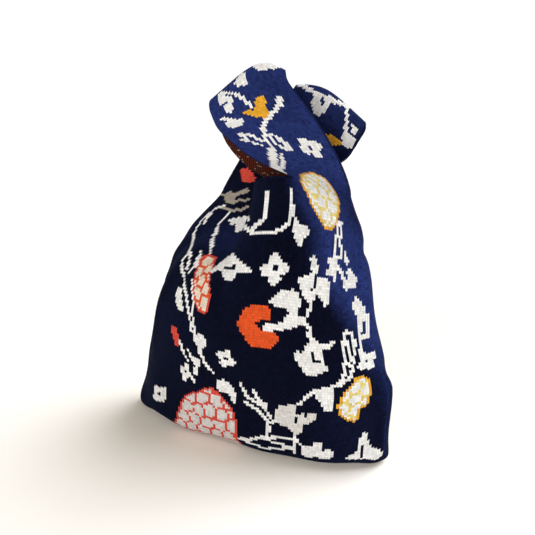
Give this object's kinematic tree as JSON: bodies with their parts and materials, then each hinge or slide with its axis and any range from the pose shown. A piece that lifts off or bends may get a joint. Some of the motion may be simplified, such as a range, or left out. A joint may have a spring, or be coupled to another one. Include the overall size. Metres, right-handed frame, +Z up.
{
  "type": "knitted tote bag",
  "caption": "Small soft tote bag of thick patterned knit, standing, with wide strap loops crossed over its mouth to close it.",
  "frame": {"origin": "middle of the bottom seam, on the floor", "axes": "+Z up, +X to the right along the seam, -Y out of the front panel"},
  "size_m": [0.2183, 0.0884, 0.2761],
  "materials": {
    "navy_knit": "matt double-sided knit"
  },
  "bodies": {
    "root": {"bag_body": "navy_knit"}
  },
  "joints": []
}
